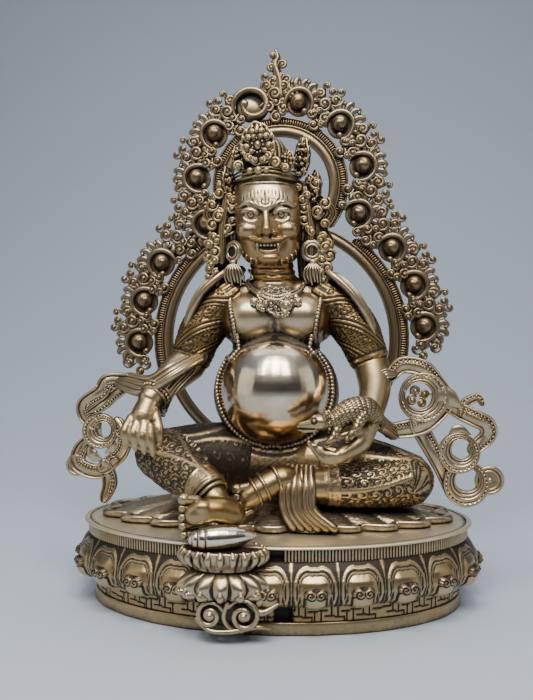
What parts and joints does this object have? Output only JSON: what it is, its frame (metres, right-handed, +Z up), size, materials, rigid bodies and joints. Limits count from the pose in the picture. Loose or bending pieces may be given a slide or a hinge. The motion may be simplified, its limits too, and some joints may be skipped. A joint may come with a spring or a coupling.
{
  "type": "kubera statue",
  "caption": "Seated pot-bellied wealth deity with a jewel-spitting mongoose, on an oval lotus base with scarf ends and an openwork aureole, in cast silvered brass.",
  "frame": {"origin": "centre of the lotus base's flat underside", "axes": "+Z up; the figure faces -Y; +X is at the viewer's right as seen from the front"},
  "size_m": [0.2572, 0.1527, 0.3473],
  "materials": {
    "silvered_brass": "silvered cast brass, polished on the belly and face, with dark patina in the recesses",
    "darkened_brass": "cast brass with a thin worn silvering and more dark patina"
  },
  "bodies": {
    "root": {"lotus_base": "silvered_brass", "foot_lotus": "silvered_brass", "figure": "silvered_brass", "scarf_end_left": "silvered_brass", "scarf_end_right": "silvered_brass", "aureole": "darkened_brass"}
  },
  "joints": []
}
